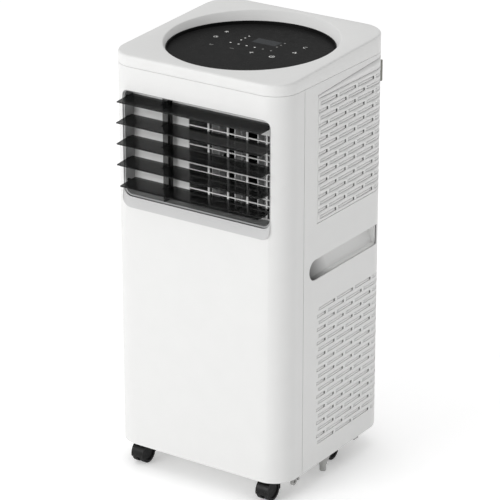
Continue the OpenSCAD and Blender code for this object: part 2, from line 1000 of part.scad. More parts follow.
// Swivelling hood of a twin-wheel caster whose stem is at x, y
module caster(x, y) {
    hood_r = wheel_r + 1.5;
    color(c_black)
        translate([x, y - caster_trail, wheel_r])
            difference() {
                union() {
                    bar_x(hood_r, -10.5, 10.5);
                    translate([0, caster_trail, 10])
                        cylinder(r = 7, h = hood_r - 10);
                    translate([0, caster_trail, 13])
                        cylinder(r = stem_r, h = hood_r + 6);
                }
                bar_x(wheel_r + 0.6, 2.5, 11);
                bar_x(wheel_r + 0.6, -11, -2.5);
                bar_x(2.5 + pin_play, -12, 12);
                block([-12, -30, -30], [12, 30, -4]);
            }
}

// The two wheels and the axle of the same caster
module caster_wheels(x, y) {
    color(c_black)
        translate([x, y - caster_trail, wheel_r])
            difference() {
                union() {
                    bar_x(2.5, -9, 9);
                    bar_x(wheel_r, 3, 10);
                    bar_x(wheel_r, -10, -3);
                }
                bar_x(wheel_r - 4, 8.5, 11);
                bar_x(wheel_r - 4, -11, -8.5);
            }
}

// ---------------------------------------------------------------- nodes

base_pan();
front_panel();
side_wall_right();
side_wall_left();
rear_housing();
top_cap();
control_bezel();
control_disc();
display_window();
control_board();
louver_frame();
louver_rib();
guard_grille();
air_duct();
blade(0);  // blade_1
blade(1);  // blade_2
blade(2);  // blade_3
blade(3);  // blade_4
blade(4);  // blade_5
blade_link();
vane(0);  // vane_1
vane(1);  // vane_2
vane(2);  // vane_3
vane_link();
blower_scroll();
blower_wheel();
blower_motor();
evaporator();
partition_tray();
condenser();
condenser_scroll();
condenser_fan();
condenser_motor();
compressor();
compressor_feet();
accumulator();
copper_lines();
exhaust_collar();
drain_spout();
drain_plug();
cord_gland();
electrics_box();
upper_grille_right();
upper_grille_left();
upper_grille_rear();
air_filter();
cover_pulls();
lower_grille_right();
lower_grille_left();
handle_cup_right();
handle_cup_left();
case_screws();
caster(-stem_x, front_stem_y);  // caster_front_left
caster(stem_x, front_stem_y);  // caster_front_right
caster(-stem_x, rear_stem_y);  // caster_rear_left
caster(stem_x, rear_stem_y);  // caster_rear_right
caster_wheels(-stem_x, front_stem_y);  // wheels_front_left
caster_wheels(stem_x, front_stem_y);  // wheels_front_right
caster_wheels(-stem_x, rear_stem_y);  // wheels_rear_left
caster_wheels(stem_x, rear_stem_y);  // wheels_rear_right
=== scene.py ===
"""Looks of the portable air conditioner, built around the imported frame."""
import json
import math

import bmesh
import bpy
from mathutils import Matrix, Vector


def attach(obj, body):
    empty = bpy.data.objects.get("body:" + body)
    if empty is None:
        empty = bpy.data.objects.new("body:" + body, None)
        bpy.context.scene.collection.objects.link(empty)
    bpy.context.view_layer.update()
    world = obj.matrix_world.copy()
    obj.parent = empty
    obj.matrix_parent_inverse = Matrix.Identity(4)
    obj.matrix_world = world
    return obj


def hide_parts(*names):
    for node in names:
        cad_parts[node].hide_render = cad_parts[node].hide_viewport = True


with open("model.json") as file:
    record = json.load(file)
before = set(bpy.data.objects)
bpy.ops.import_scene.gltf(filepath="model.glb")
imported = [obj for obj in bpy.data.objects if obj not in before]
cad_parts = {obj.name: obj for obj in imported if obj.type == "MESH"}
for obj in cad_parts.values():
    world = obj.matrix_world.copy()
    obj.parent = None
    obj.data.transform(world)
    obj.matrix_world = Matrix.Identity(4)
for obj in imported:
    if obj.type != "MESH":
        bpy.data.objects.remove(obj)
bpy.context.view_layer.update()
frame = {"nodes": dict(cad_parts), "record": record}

MM = 0.001

# ------------------------------------------------------------------ sizes, in millimetres

SIDE_X = 150
FRONT_Y = -143
REAR_Y = 143
FRONT_R = 38
REAR_R = 44
WALL = 3
SEAM_Z = 628
CAP_FRONT_Z = 645
CAP_SLOPE = 12 / (REAR_Y - FRONT_Y)
CAP_EDGE_R = 3
DIAL_Y = 0
DIAL_R = 123
RIM_Z = 641
DISC_Z = 636
DISH_SLOPE = 7 / 16
SPLIT_Y = -89
CORNER_Y = REAR_Y - REAR_R
GROUND_GAP = 36
GAP = 0.45                              # half of the upright seam, and the gap round the cover
SEAM_GAP = 0.1                          # gap under the cap
SHEET = 1.6                             # thickness of the slotted walls

# slots: every other row is shifted by half a period
SLOT_PITCH = 10.65
SLOT_H = 5
SLOT_LEAD = 4.5                         # from a grille's lower edge to its first slot
SLOT_PERIOD = 49
SLOT_GAP = 5
FIRST_GAP = -26
GRILLE_Y = -55
LOWER_Z = 64
LOWER_ROWS = 21
UPPER_Z = 419
UPPER_ROWS = 17

# the pad in each slot, and the screen that the pads stand on
PAD_GROOVE = 0.75                       # above and below a pad
PAD_LEAD = 0.7                          # in front of a pad
PAD_TAIL = 3.6                          # behind a pad, where the slot is open
PAD_INSET = 0.35
PAD_DEPTH = 1.7
SCREEN_T = 0.8
VENT_W = 3.2                            # opening in the screen behind each slot's far end

# filter cover: its upper edge climbs to the back, above a level groove
COVER_TOP = 610
COVER_SLOPE = 0.067
COVER_GROOVE = (605, 606)
COVER_EDGE = 2.2

# pocket: Y and Z of its mouth; outlet: half width and Z of its opening
POCKET = (-74, 112, 333, 364.5)
POCKET_R = 3
OUTLET = (127, 431, 593)
OUTLET_R_LOW = 14
OUTLET_R_HIGH = 12
SCOOP_H = 16
SCOOP_DEPTH = 2.5
LINER_ROOM = 0.3                        # room between the scoop's liner and the panel

# holes in the back: X, Z and radius
BACK_HOLES = ((0, 352, 57.6), (85, 52, 7.2), (-92, 330, 7.2))

# ------------------------------------------------------------------ materials


def linear(code):
    """Linear RGBA of an sRGB colour written as six hex digits."""
    channels = [int(code[i:i + 2], 16) / 255 for i in (0, 2, 4)]
    return [c / 12.92 if c < 0.04045 else ((c + 0.055) / 1.055) ** 2.4 for c in channels] + [1]


def shade(colour, factor):
    """A colour made lighter or darker by a factor."""
    return [min(1, c * factor) for c in colour[:3]] + [1]


class Shader:
    """A Principled material with short calls for the nodes that feed it."""

    def __init__(self, name, **sockets):
        self.material = bpy.data.materials.new(name)
        self.material.use_nodes = True
        self.nodes = self.material.node_tree.nodes
        self.links = self.material.node_tree.links
        self.bsdf = self.nodes["Principled BSDF"]
        self.coords = self.nodes.new("ShaderNodeTexCoord").outputs["Object"]
        for socket, value in sockets.items():
            self.bsdf.inputs[socket.replace("_", " ")].default_value = value

    def noise(self, size_mm, detail=3, stretch=(1, 1, 1)):
        """Noise with features of about size_mm, stretched along the axes."""
        mapping = self.nodes.new("ShaderNodeMapping")
        mapping.inputs["Scale"].default_value = [1 / s for s in stretch]
        self.links.new(self.coords, mapping.inputs["Vector"])
        node = self.nodes.new("ShaderNodeTexNoise")
        node.inputs["Scale"].default_value = 1 / (size_mm * MM)
        node.inputs["Detail"].default_value = detail
        self.links.new(mapping.outputs["Vector"], node.inputs["Vector"])
        return node.outputs["Fac"]

    def cells(self, size_mm):
        """Random value per cell of about size_mm."""
        node = self.nodes.new("ShaderNodeTexVoronoi")
        node.inputs["Scale"].default_value = 1 / (size_mm * MM)
        self.links.new(self.coords, node.inputs["Vector"])
        return node.outputs["Color"]

    def bands(self, size_mm, axis):
        """Fine parallel lines, one per size_mm along an axis."""
        node = self.nodes.new("ShaderNodeTexWave")
        node.bands_direction = axis
        node.inputs["Scale"].default_value = math.pi / (10 * size_mm * MM)
        node.inputs["Distortion"].default_value = 0.2
        self.links.new(self.coords, node.inputs["Vector"])
        return node.outputs["Fac"]

    def colour(self, factor, low, high, start=0.3, end=0.7):
        """Base colour that runs from low to high with a factor."""
        ramp = self.nodes.new("ShaderNodeValToRGB")
        ramp.color_ramp.elements[0].position = start
        ramp.color_ramp.elements[0].color = low
        ramp.color_ramp.elements[1].position = end
        ramp.color_ramp.elements[1].color = high
        self.links.new(factor, ramp.inputs["Fac"])
        self.links.new(ramp.outputs["Color"], self.bsdf.inputs["Base Color"])
        return self

    def roughness(self, factor, low, high):
        """Roughness that runs from low to high with a factor."""
        spread = self.nodes.new("ShaderNodeMapRange")
        spread.inputs["From Min"].default_value = 0.3
        spread.inputs["From Max"].default_value = 0.7
        spread.inputs["To Min"].default_value = low
        spread.inputs["To Max"].default_value = high
        self.links.new(factor, spread.inputs["Value"])
        self.links.new(spread.outputs["Result"], self.bsdf.inputs["Roughness"])
        return self

    def relief(self, factor, depth_mm, strength=1.0):
        """Relief of a given depth."""
        bump = self.nodes.new("ShaderNodeBump")
        bump.inputs["Strength"].default_value = strength
        bump.inputs["Distance"].default_value = depth_mm * MM
        self.links.new(factor, bump.inputs["Height"])
        self.links.new(bump.outputs["Normal"], self.bsdf.inputs["Normal"])
        return self


def moulded(name, colour, rough, grain_mm, depth_mm, variation=0.03, **sockets):
    """Moulded plastic: faint colour drift, uneven polish and a fine grain."""
    shader = Shader(name, **sockets)
    drift = shader.noise(35)
    shader.colour(drift, shade(colour, 1 - variation), shade(colour, 1 + variation))
    shader.roughness(shader.noise(12), rough - 0.05, rough + 0.05)
    shader.relief(shader.noise(grain_mm, detail=2), depth_mm)
    return shader.material


def metal(name, colour, rough, stretch, variation=0.12, depth_mm=0.01):
    """Bare metal with marks drawn out along the axes by stretch."""
    shader = Shader(name, Metallic=1.0)
    marks = shader.noise(1.5, stretch=stretch)
    shader.colour(marks, shade(colour, 1 - variation), shade(colour, 1 + variation))
    shader.roughness(marks, rough - 0.08, rough + 0.08)
    shader.relief(shader.noise(0.6, stretch=stretch), depth_mm)
    return shader.material


def galvanized(name):
    """Zinc-coated sheet with its crystal pattern."""
    colour = linear("A6A9AB")
    shader = Shader(name, Metallic=0.9)
    crystals = shader.cells(7)
    shader.colour(crystals, shade(colour, 0.82), shade(colour, 1.12), 0.1, 0.9)
    shader.roughness(crystals, 0.32, 0.5)
    shader.relief(shader.noise(2), 0.02)
    return shader.material


def fin_pack(name):
    """Aluminium fins packed across X, seen as fine upright lines; the dark between them is painted
    shade in the gaps between the fins.
    """
    colour = linear("B9BCBE")
    shader = Shader(name, Metallic=0.8)
    fins = shader.bands(1.6, "X")
    # painted shade: the dark colour of the lines stands in for the shadow between the fins
    shader.colour(fins, shade(colour, 0.25), colour, 0.2, 0.6)
    shader.roughness(shader.noise(8), 0.35, 0.5)
    shader.relief(fins, 0.5)
    return shader.material


def circuit_board(name):
    """Green solder mask with lighter copper fields under it."""
    shader = Shader(name, Coat_Weight=0.4)
    fields = shader.cells(5)
    shader.colour(fields, linear("0E4A2A"), linear("1E7A45"), 0.4, 0.6)
    shader.roughness(shader.noise(4), 0.3, 0.45)
    shader.relief(fields, 0.03)
    return shader.material


white = moulded("casing_white", linear("DFDFDE"), 0.42, 0.8, 0.006, 0.008)
screen = moulded("screen_white", linear("D6D6D5"), 0.6, 0.5, 0.03, 0.02)
grey = moulded("grey_plastic", linear("7A7B7B"), 0.48, 0.7, 0.012, 0.03)
pan_grey = moulded("pan_grey", linear("A4A4A2"), 0.5, 0.7, 0.012, 0.03)
smoke = moulded("smoked_plastic", linear("0F1010"), 0.22, 3.0, 0.004, 0.04, Alpha=0.8, IOR=1.3)
clear_smoke = moulded("smoked_rib", linear("1A1B1C"), 0.25, 3.0, 0.004, 0.04, Alpha=0.55, IOR=1.3)
black = moulded("black_plastic", linear("080808"), 0.34, 0.7, 0.01, 0.08, Specular_IOR_Level=0.25)
well = moulded("well_wall", linear("0B0B0B"), 0.55, 0.6, 0.01, 0.08, Specular_IOR_Level=0.2)
gloss = moulded("control_gloss", linear("242424"), 0.3, 4.0, 0.002, 0.03, IOR=1.05)
glass = moulded("display_glass", linear("36383A"), 0.2, 5.0, 0.002, 0.05, IOR=1.07)
rubber = moulded("soft_rubber", linear("232323"), 0.75, 1.2, 0.05, 0.1)
tread = moulded("caster_tread", linear("0D0D0E"), 0.6, 1.0, 0.04, 0.1, Specular_IOR_Level=0.3)
enamel = moulded("black_steel", linear("17181A"), 0.32, 2.5, 0.03, 0.06, Coat_Weight=0.3)
# painted shade: a grey darker than the casing, standing in for the shadowed band under the outlet
scoop_painted_shade = moulded("scoop_painted_shade", linear("C2C2C2"), 0.45, 0.8, 0.006, 0.008)
vane_grey = moulded("vane_grey", linear("D4D4D4"), 0.5, 0.7, 0.012, 0.03)
frame_grey = moulded("frame_grey", linear("A2A3A3"), 0.5, 0.7, 0.012, 0.03)
printed = moulded("printed_white", linear("F0F0EE"), 0.5, 1.0, 0.004, 0.02)
faint_print = moulded("printed_grey", linear("8A8A88"), 0.5, 1.0, 0.004, 0.02)
bracket = moulded("bracket_grey", linear("7E7E76"), 0.5, 0.7, 0.012, 0.03)
zinc = galvanized("sheet_metal")
fins = fin_pack("coil_fins")
copper = metal("copper", linear("C9805A"), 0.3, (1, 1, 6))
steel = metal("screw_steel", linear("C2C4C6"), 0.3, (4, 1, 1))
board = circuit_board("circuit_board")



def painted_pocket_shade():
    """White moulding with painted shade: dark grey painted in at the pocket's front end, where its
    shadow falls.
    """
    shader = Shader("pocket_painted_shade")
    place = shader.nodes.new("ShaderNodeSeparateXYZ")
    generated = shader.coords.node.outputs["Generated"]
    shader.links.new(generated, place.inputs["Vector"])
    # painted shade: the colour runs from dark grey at the pocket's front end to white, standing in for
    # the shadow there
    shader.colour(place.outputs["Y"], linear("3C3C3C"), linear("F2F2F1"), 0.05, 0.36)
    shader.roughness(shader.noise(12), 0.45, 0.55)
    shader.relief(shader.noise(0.8, detail=2), 0.006)
    return shader.material


pocket_painted_shade = painted_pocket_shade()

FINISHES = {
    "casing_white": white, "grey_plastic": grey, "smoked_plastic": smoke,
    "black_plastic": black, "control_gloss": gloss, "display_glass": glass,
    "circuit_board": board, "sheet_metal": zinc, "coil_fins": fins,
    "black_steel": enamel, "copper": copper, "screw_steel": steel,
    "soft_rubber": rubber, "caster_tread": tread,
}

# ------------------------------------------------------------------ mesh helpers


def finish_piece(name, mesh, body, material, bevel=0, sharp=35):
    """Links a mesh as a piece of the object, riding on a body."""
    mesh.materials.append(material)
    mesh.shade_smooth()
    mesh.set_sharp_from_angle(angle=math.radians(sharp))
    piece = bpy.data.objects.new(name, mesh)
    bpy.context.scene.collection.objects.link(piece)
    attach(piece, body)
    if bevel:
        soften(piece, bevel)
    return piece


def soften(piece, width_mm, segments=2, angle=35):
    """Rounds the piece's sharp edges, as a moulding's are."""
    bevel = piece.modifiers.new("edges", "BEVEL")
    bevel.width = width_mm * MM
    bevel.segments = segments
    bevel.limit_method = "ANGLE"
    bevel.angle_limit = math.radians(angle)
    bevel.harden_normals = True


def loft(name, loops, closed=False):
    """Mesh through a list of closed loops with the same number of points, in millimetres."""
    mesh = bpy.data.meshes.new(name)
    bm = bmesh.new()
    rings = [[bm.verts.new(Vector(p) * MM) for p in loop] for loop in loops]
    pairs = list(zip(rings, rings[1:]))
    if closed:
        pairs.append((rings[-1], rings[0]))
    for low, high in pairs:
        count = len(low)
        for i in range(count):
            j = (i + 1) % count
            bm.faces.new((low[i], low[j], high[j], high[i]))
    if not closed:
        bm.faces.new(rings[0])
        bm.faces.new(rings[-1])
    bmesh.ops.recalc_face_normals(bm, faces=bm.faces)
    bm.to_mesh(mesh)
    bm.free()
    return mesh


def plan_points(inset, per_corner=12, per_side=24):
    """Points around the casing's plan, drawn in by inset, anticlockwise from the front right."""
    corners = [
        (1, -1, FRONT_R, -90), (1, 1, REAR_R, 0), (-1, 1, REAR_R, 90), (-1, -1, FRONT_R, 180),
    ]
    arcs = []
    for sx, sy, radius, start in corners:
        cx = sx * (SIDE_X - radius)
        cy = sy * (REAR_Y - radius)
        turns = [math.radians(start + 90 * k / per_corner) for k in range(per_corner + 1)]
        arcs.append([
            (cx + (radius - inset) * math.cos(t), cy + (radius - inset) * math.sin(t))
            for t in turns
        ])
    points = []
    for arc, after in zip(arcs, arcs[1:] + arcs[:1]):
        points += arc
        (x0, y0), (x1, y1) = arc[-1], after[0]
        for k in range(1, per_side):
            t = k / per_side
            points.append((x0 + t * (x1 - x0), y0 + t * (y1 - y0)))
    return points


# ------------------------------------------------------------------ top cap


def cap_plane(y, drop=0):
    """Height of the cap's sloping top at y, less drop."""
    return CAP_FRONT_Z + CAP_SLOPE * (y - FRONT_Y) - drop


def dish_radius(turn):
    """Radius at which the dish meets the sloping top, in one direction from the dial's centre."""
    radius = DIAL_R
    for _ in range(6):
        rise = cap_plane(DIAL_Y + radius * math.sin(turn)) - RIM_Z
        radius = DIAL_R + DISH_SLOPE * rise
    return radius


def make_top_cap():
    """Cap with a rounded edge, and a dish that runs down to the level rim of the well."""
    turns = [math.atan2(y - DIAL_Y, x) for x, y in plan_points(CAP_EDGE_R)]

    def around(radius_of, height_of):
        loop = []
        for t in turns:
            radius = radius_of(t)
            x = radius * math.cos(t)
            y = DIAL_Y + radius * math.sin(t)
            loop.append((x, y, height_of(y)))
        return loop

    def level(z):
        return lambda y: z

    def below_top(drop):
        return lambda y: cap_plane(y, drop)

    loops = [
        [(x, y, SEAM_Z) for x, y in plan_points(WALL)],
        [(x, y, SEAM_Z) for x, y in plan_points(0.9)],
        [(x, y, SEAM_Z + 0.3) for x, y in plan_points(0.25)],
        [(x, y, SEAM_Z + 1) for x, y in plan_points(0)],
    ]
    for step in range(9):
        t = math.radians(90 * step / 8)
        inset = CAP_EDGE_R * (1 - math.cos(t))
        drop = CAP_EDGE_R * (1 - math.sin(t))
        loops.append([(x, y, cap_plane(y, drop)) for x, y in plan_points(inset)])
    loops += [
        around(lambda t: dish_radius(t) + 2.2, below_top(0)),
        around(lambda t: dish_radius(t) + 0.9, below_top(0.2)),
        around(lambda t: dish_radius(t), below_top(0.9)),
        around(lambda t: DIAL_R + 0.4, level(RIM_Z + 0.7)),
        around(lambda t: DIAL_R + 0.05, level(RIM_Z + 0.1)),
        around(lambda t: DIAL_R + 0.05, level(RIM_Z - WALL)),
        around(lambda t: DIAL_R + 10, level(RIM_Z - WALL)),
        [(x, y, cap_plane(y, WALL)) for x, y in plan_points(WALL + 3)],
        [(x, y, SEAM_Z + 6) for x, y in plan_points(WALL)],
    ]
    mesh = loft("top_cap_shell", loops, closed=True)
    cap = finish_piece("top_cap_shell", mesh, "casing", white)
    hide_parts("top_cap")


make_top_cap()

# ------------------------------------------------------------------ walls behind the seam

RIGHT_LENGTH = CORNER_Y - SPLIT_Y
ARC_LENGTH = math.pi / 2 * REAR_R
BACK_LENGTH = 2 * (SIDE_X - REAR_R)
WRAP_LENGTH = 2 * RIGHT_LENGTH + 2 * ARC_LENGTH + BACK_LENGTH


def wrap_point(s, inset=0):
    """Point of the casing's outline at a distance s from the right-hand seam, round the back."""
    if s > WRAP_LENGTH / 2:
        x, y = wrap_point(WRAP_LENGTH - s, inset)
        return -x, y
    if s < RIGHT_LENGTH:
        return SIDE_X - inset, SPLIT_Y + s
    if s < RIGHT_LENGTH + ARC_LENGTH:
        t = (s - RIGHT_LENGTH) / REAR_R
        radius = REAR_R - inset
        return SIDE_X - REAR_R + radius * math.cos(t), CORNER_Y + radius * math.sin(t)
    return SIDE_X - REAR_R - (s - RIGHT_LENGTH - ARC_LENGTH), REAR_Y - inset


def mirrored(values):
    """Places along the wrap together with their mirror images, in order and without repeats."""
    both = list(values) + [WRAP_LENGTH - v for v in values]
    return sorted({round(v, 3) for v in both})


SLOTS_TO_MIDDLE = 8
SHORTEST_SLOT = 6
SLOT_MARGIN = 2.5                       # from the grille's front edge to its first slot


def row_slots(row):
    """Start and end of each slot of a row along the right-hand half of the wrap."""
    half = 0.5 if row % 2 == 0 else 0
    middle = WRAP_LENGTH / 2
    slots = []
    for k in range(SLOTS_TO_MIDDLE):
        start = FIRST_GAP - SPLIT_Y + (k - 1 + half) * SLOT_PERIOD + SLOT_GAP / 2
        end = start + SLOT_PERIOD - SLOT_GAP
        start = max(start, GRILLE_Y - SPLIT_Y + SLOT_MARGIN)
        if end > middle:
            end = WRAP_LENGTH - start
        if end - start > SHORTEST_SLOT and start < middle:
            slots.append((start, end))
    return slots


def slot_bands(base, rows):
    """Lower and upper edge of each row of slots above a base height."""
    lows = [base + SLOT_LEAD + row * SLOT_PITCH for row in range(rows)]
    return [(low, low + SLOT_H) for low in lows]


def slot_columns(rows):
    """Every place along the wrap where a slot of these rows starts or ends."""
    return [edge for row in range(rows) for slot in row_slots(row) for edge in slot]


def wrap_sheet(name, columns, heights, is_open, inset=0, path=wrap_point):
    """Sheet that follows a path round the casing: a grid of cells, less the open ones."""
    mesh = bpy.data.meshes.new(name)
    bm = bmesh.new()
    grid = []
    for height in heights:
        line = []
        for s in columns:
            x, y = path(s, inset)
            z = height(y) if callable(height) else height
            line.append(bm.verts.new(Vector((x, y, z)) * MM))
        grid.append(line)
    for j, (below, above) in enumerate(zip(grid, grid[1:])):
        for i in range(len(columns) - 1):
            if not is_open((columns[i] + columns[i + 1]) / 2, j):
                bm.faces.new((below[i], below[i + 1], above[i + 1], above[i]))
    loose = [v for v in bm.verts if not v.link_faces]
    bmesh.ops.delete(bm, geom=loose, context="VERTS")
    bm.to_mesh(mesh)
    bm.free()
    return mesh


def thicken(piece, thickness_mm):
    """Gives a sheet its thickness, inwards."""
    solid = piece.modifiers.new("thickness", "SOLIDIFY")
    solid.thickness = thickness_mm * MM
    solid.offset = -1


def curve_columns():
    """Places along the wrap that keep its corners round."""
    return [RIGHT_LENGTH + ARC_LENGTH * k / 14 for k in range(15)]


def cover_top(y, drop=0):
    """Height of the filter cover's upper edge."""
    return COVER_TOP + COVER_SLOPE * (y - GRILLE_Y) - drop


def slot_test(rows, first_band):
    """Test of whether a cell of a wrap sheet lies in a slot; band first_band holds row 0."""
    slots = [row_slots(row) for row in range(rows)]

    def test(s, band):
        row, rest = divmod(band - first_band, 2)
        if rest or not 0 <= row < rows:
            return False
        s = min(s, WRAP_LENGTH - s)
        return any(start < s < end for start, end in slots[row])

    return test


def make_filter_cover():
    """Upper cover with its slots running round the corners, its screen and its pads."""
    start = GRILLE_Y - SPLIT_Y + GAP
    columns = mirrored([start, start + COVER_EDGE, WRAP_LENGTH / 2] + slot_columns(2) + curve_columns())
    heights = [UPPER_Z]
    for low, high in slot_bands(UPPER_Z, UPPER_ROWS):
        heights += [low, high]
    heights += [*COVER_GROOVE, cover_top]
    in_slot = slot_test(UPPER_ROWS, 1)
    groove_band = len(heights) - 3

    def is_open(s, band):
        if band == groove_band:
            return start + COVER_EDGE < min(s, WRAP_LENGTH - s)
        return in_slot(s, band)

    mesh = wrap_sheet("filter_cover_shell", columns, heights, is_open)
    cover = finish_piece("filter_cover_shell", mesh, "filter_cover", white)
    thicken(cover, SHEET)
    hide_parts("upper_grille_right", "upper_grille_left", "upper_grille_rear")
    make_screen("filter_cover_screen", "filter_cover", UPPER_Z, UPPER_ROWS, 613)
    make_pads("filter_cover_pads", "filter_cover", UPPER_Z, UPPER_ROWS)


SCREEN_ROOM = 0.3
SCREEN_MARGIN = 0.4                     # by which a vent is taller than its slot


def make_screen(name, body, base, rows, top):
    """Light screen close behind the slots, open at the far end of each one."""
    inset = SHEET + SCREEN_ROOM
    vents = []
    for row in range(rows):
        vents.append([(end - VENT_W, end + 0.6) for _, end in row_slots(row)])
    start = GRILLE_Y - SPLIT_Y + 1.5
    edges = [edge for row in vents[:2] for vent in row for edge in vent]
    columns = mirrored([start, WRAP_LENGTH / 2] + edges + curve_columns())
    heights = [base + 1]
    for low, high in slot_bands(base, rows):
        heights += [low - SCREEN_MARGIN, high + SCREEN_MARGIN]
    heights.append(top)

    def is_open(s, band):
        row, rest = divmod(band - 1, 2)
        if rest or not 0 <= row < rows:
            return False
        s = min(s, WRAP_LENGTH - s)
        return any(low < s < high for low, high in vents[row])

    mesh = wrap_sheet(name, columns, heights, is_open, inset)
    piece = finish_piece(name, mesh, body, screen)
    thicken(piece, SCREEN_T)


def make_pads(name, body, base, rows):
    """Flat pads that fill each slot but for a fine groove round them and a vent at the far end."""
    pads = []
    for row in range(rows):
        pads.append([(start + PAD_LEAD, end - PAD_TAIL) for start, end in row_slots(row)])
    edges = [edge for row in pads[:2] for pad in row for edge in pad]
    columns = mirrored([WRAP_LENGTH / 2] + edges + curve_columns())
    heights = []
    for low, high in slot_bands(base, rows):
        heights += [low + PAD_GROOVE, high - PAD_GROOVE]

    def is_open(s, band):
        row, rest = divmod(band, 2)
        s = min(s, WRAP_LENGTH - s)
        return rest == 1 or not any(low < s < high for low, high in pads[row])

    mesh = wrap_sheet(name, columns, heights, is_open, PAD_INSET)
    piece = finish_piece(name, mesh, body, white)
    thicken(piece, PAD_DEPTH)


def cut(piece, cutters):
    """Cuts closed meshes out of a piece and keeps the result as its mesh."""
    for cutter in cutters:
        tool = bpy.data.objects.new("cutter", cutter)
        bpy.context.scene.collection.objects.link(tool)
        step = piece.modifiers.new("cut", "BOOLEAN")
        step.operation = "DIFFERENCE"
        step.solver = "EXACT"
        step.object = tool
        graph = bpy.context.evaluated_depsgraph_get()
        result = bpy.data.meshes.new_from_object(piece.evaluated_get(graph))
        piece.modifiers.clear()
        piece.data = result
        bpy.data.objects.remove(tool)


def prism(outline, axis, low, high):
    """Closed mesh of an outline (a, b) drawn along X or Y from low to high."""
    loops = []
    for depth in (low, high):
        if axis == "X":
            loops.append([(depth, a, b) for a, b in outline])
        else:
            loops.append([(a, depth, b) for a, b in outline])
    return loft("cutter", loops)


def circle(cx, cz, radius, count=64):
    """Points round a circle."""
    turns = [2 * math.pi * k / count for k in range(count)]
    return [(cx + radius * math.cos(t), cz + radius * math.sin(t)) for t in turns]


def pocket_outline():
    """Outline of a handle pocket's mouth: round at the front, square with small corners behind."""
    y0, y1, z0, z1 = POCKET
    radius = (z1 - z0) / 2
    middle = (z0 + z1) / 2
    points = []
    for k in range(25):
        t = math.radians(90 + 180 * k / 24)
        points.append((y0 + radius + radius * math.cos(t), middle + radius * math.sin(t)))
    cy = y1 - POCKET_R
    for cz, start in ((z0 + POCKET_R, -90), (z1 - POCKET_R, 0)):
        for k in range(7):
            t = math.radians(start + 15 * k)
            points.append((cy + POCKET_R * math.cos(t), cz + POCKET_R * math.sin(t)))
    return points


def make_rear_shell():
    """Sides and back in one moulding, slotted below, with both pockets and the holes at the back."""
    cover_start = GRILLE_Y - SPLIT_Y
    columns = mirrored(
        [GAP, 4, cover_start, WRAP_LENGTH / 2] + slot_columns(2) + curve_columns())
    heights = [GROUND_GAP, LOWER_Z]
    for low, high in slot_bands(LOWER_Z, LOWER_ROWS):
        heights += [low, high]
    heights += [300, 325, 372, 400, UPPER_Z - 2 * GAP]
    cover_band = len(heights) - 1
    heights.append(lambda y: cover_top(y, -2 * GAP))
    heights.append(SEAM_Z - SEAM_GAP)
    in_slot = slot_test(LOWER_ROWS, 2)

    def is_open(s, band):
        if band == cover_band:
            return min(s, WRAP_LENGTH - s) > cover_start
        return in_slot(s, band)

    mesh = wrap_sheet("rear_shell", columns, heights, is_open)
    shell = finish_piece("rear_shell", mesh, "casing", white)
    thicken(shell, SHEET)
    cutters = [prism(pocket_outline(), "X", -SIDE_X - 5, SIDE_X + 5)]
    for x, z, radius in BACK_HOLES:
        count = 64 if radius > 20 else 32
        cutters.append(prism(circle(x, z, radius, count), "Y", CORNER_Y + 20, REAR_Y + 5))
    cut(shell, cutters)
    shell.data.shade_smooth()
    shell.data.set_sharp_from_angle(angle=math.radians(35))
    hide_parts("side_wall_right", "side_wall_left", "rear_housing", "lower_grille_right",
                "lower_grille_left")
    make_screen("lower_screen", "casing", LOWER_Z, LOWER_ROWS, LOWER_Z + LOWER_ROWS * SLOT_PITCH + 3)
    make_pads("lower_pads", "casing", LOWER_Z, LOWER_ROWS)


make_filter_cover()
make_rear_shell()

# ------------------------------------------------------------------ front panel

FRONT_SIDE = SPLIT_Y - FRONT_Y - FRONT_R
FRONT_ARC = math.pi / 2 * FRONT_R
FRONT_LENGTH = 2 * FRONT_SIDE + 2 * FRONT_ARC + 2 * (SIDE_X - FRONT_R)


def front_point(s, inset=0):
    """Point of the casing's outline at a distance s from the left-hand seam, round the front."""
    if s > FRONT_LENGTH / 2:
        x, y = front_point(FRONT_LENGTH - s, inset)
        return -x, y
    if s < FRONT_SIDE:
        return inset - SIDE_X, SPLIT_Y - s
    if s < FRONT_SIDE + FRONT_ARC:
        t = (s - FRONT_SIDE) / FRONT_R
        radius = FRONT_R - inset
        return FRONT_R - SIDE_X - radius * math.cos(t), FRONT_Y + FRONT_R - radius * math.sin(t)
    return FRONT_R - SIDE_X + (s - FRONT_SIDE - FRONT_ARC), FRONT_Y + inset


def outlet_outline(half, low, high, r_low, r_high, steps=10):
    """Outline of the opening in X and Z, with its own radius for the lower and upper corners."""
    corners = [
        (half - r_low, low + r_low, r_low, -90), (half - r_high, high - r_high, r_high, 0),
        (r_high - half, high - r_high, r_high, 90), (r_low - half, low + r_low, r_low, 180),
    ]
    points = []
    for cx, cz, radius, start in corners:
        for k in range(steps + 1):
            t = math.radians(start + 90 * k / steps)
            points.append((cx + radius * math.cos(t), cz + radius * math.sin(t)))
    return points


def scoop_line(depth, grow=0):
    """Lower half of the scoop's outline at a depth behind the front face."""
    half, low, high = OUTLET
    low -= SCOOP_H * (1 - depth / SCOOP_DEPTH)
    outline = outlet_outline(half + grow, low - grow, high, OUTLET_R_LOW, OUTLET_R_HIGH)
    quarter = len(outline) // 4
    points = outline[3 * quarter:] + outline[:quarter]
    return [(x, FRONT_Y + depth, z) for x, z in points]


